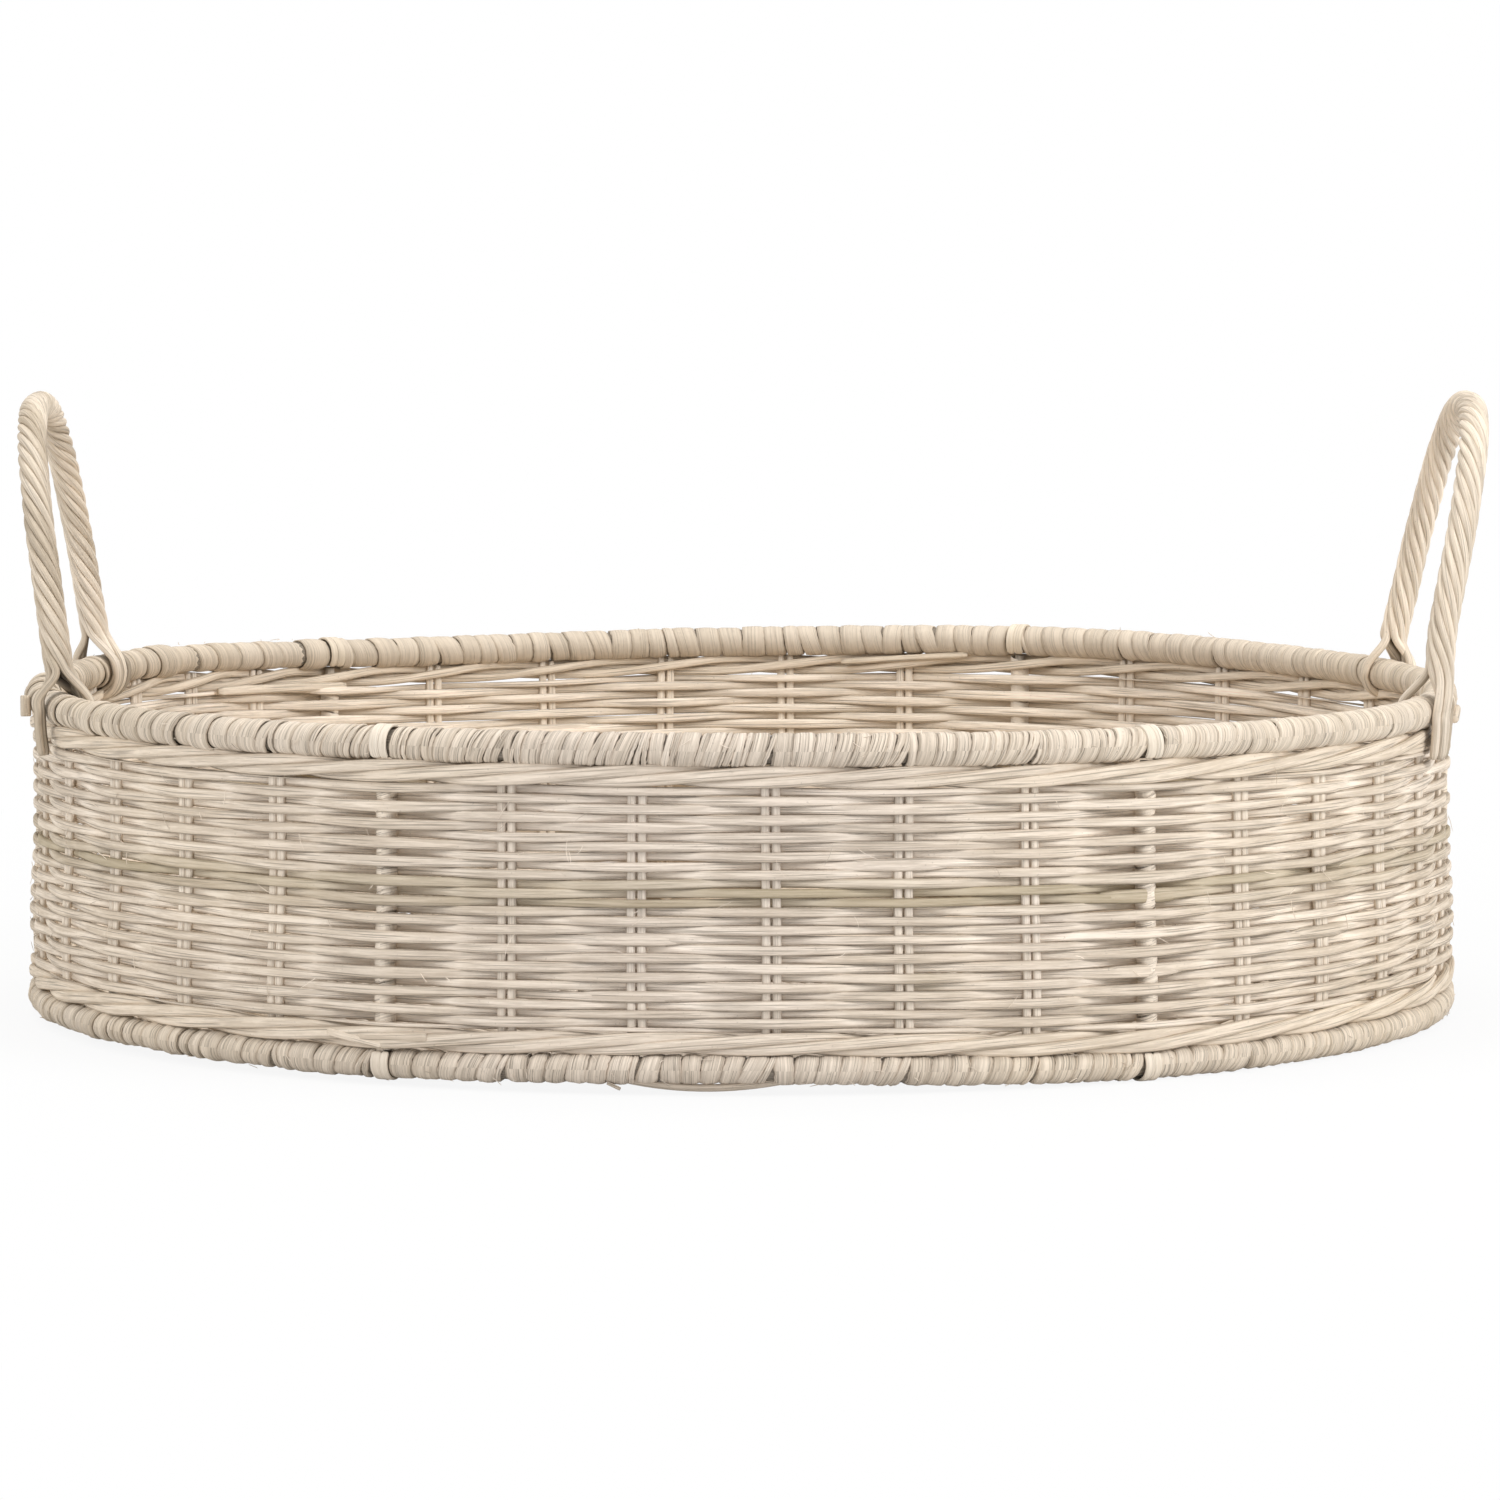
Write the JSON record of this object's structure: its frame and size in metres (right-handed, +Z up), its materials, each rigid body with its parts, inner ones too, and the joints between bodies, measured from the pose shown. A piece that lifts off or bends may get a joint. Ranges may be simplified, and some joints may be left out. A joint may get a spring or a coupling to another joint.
{
  "type": "wicker tray",
  "caption": "Round woven rattan tray with a bound top and bottom hoop, a stake-and-strand wall and two twisted loop handles.",
  "frame": {"origin": "on the ground under the middle of the round base; one handle leans out 3 degrees more than the other, so the box's middle is 3 mm nearer to it", "axes": "+Z up; +X towards one handle and -X towards the other; -Y is the front"},
  "size_m": [0.5108, 0.5006, 0.2178],
  "materials": {
    "hoop_binding": "satin",
    "post_straps": "satin",
    "post_wrap": "satin",
    "stake_rod": "matt",
    "weaver_rod": "matt",
    "wale_rod": "matt",
    "base_cane": "matt",
    "handle_rods": "matt"
  },
  "bodies": {
    "root": {"top_hoop": "hoop_binding", "bottom_hoop": "hoop_binding", "post_1": "post_wrap", "post_2": "post_wrap", "post_3": "post_wrap", "post_4": "post_wrap", "post_5": "post_wrap", "post_6": "post_wrap", "top_band_1": "post_straps", "top_band_2": "post_straps", "top_band_3": "post_straps", "top_band_4": "post_straps", "top_band_5": "post_straps", "top_band_6": "post_straps", "bottom_band_1": "post_straps", "bottom_band_2": "post_straps", "bottom_band_3": "post_straps", "bottom_band_4": "post_straps", "bottom_band_5": "post_straps", "bottom_band_6": "post_straps", "stake_01": "stake_rod", "stake_02": "stake_rod", "stake_03": "stake_rod", "stake_04": "stake_rod", "stake_05": "stake_rod", "stake_06": "stake_rod", "stake_07": "stake_rod", "stake_08": "stake_rod", "stake_09": "stake_rod", "stake_10": "stake_rod", "stake_11": "stake_rod", "stake_12": "stake_rod", "stake_13": "stake_rod", "stake_14": "stake_rod", "stake_15": "stake_rod", "stake_16": "stake_rod", "stake_17": "stake_rod", "stake_18": "stake_rod", "stake_19": "stake_rod", "stake_20": "stake_rod", "stake_21": "stake_rod", "stake_22": "stake_rod", "stake_23": "stake_rod", "stake_24": "stake_rod", "stake_25": "stake_rod", "stake_26": "stake_rod", "stake_27": "stake_rod", "stake_28": "stake_rod", "stake_29": "stake_rod", "stake_30": "stake_rod", "weaver_a": "weaver_rod", "weaver_b": "weaver_rod", "bottom_wale": "wale_rod", "top_wale": "wale_rod", "base_spokes": "base_cane", "base_hub": "base_cane", "base_mat": "base_cane", "handle_right": "handle_rods", "handle_left": "handle_rods"}
  },
  "joints": []
}
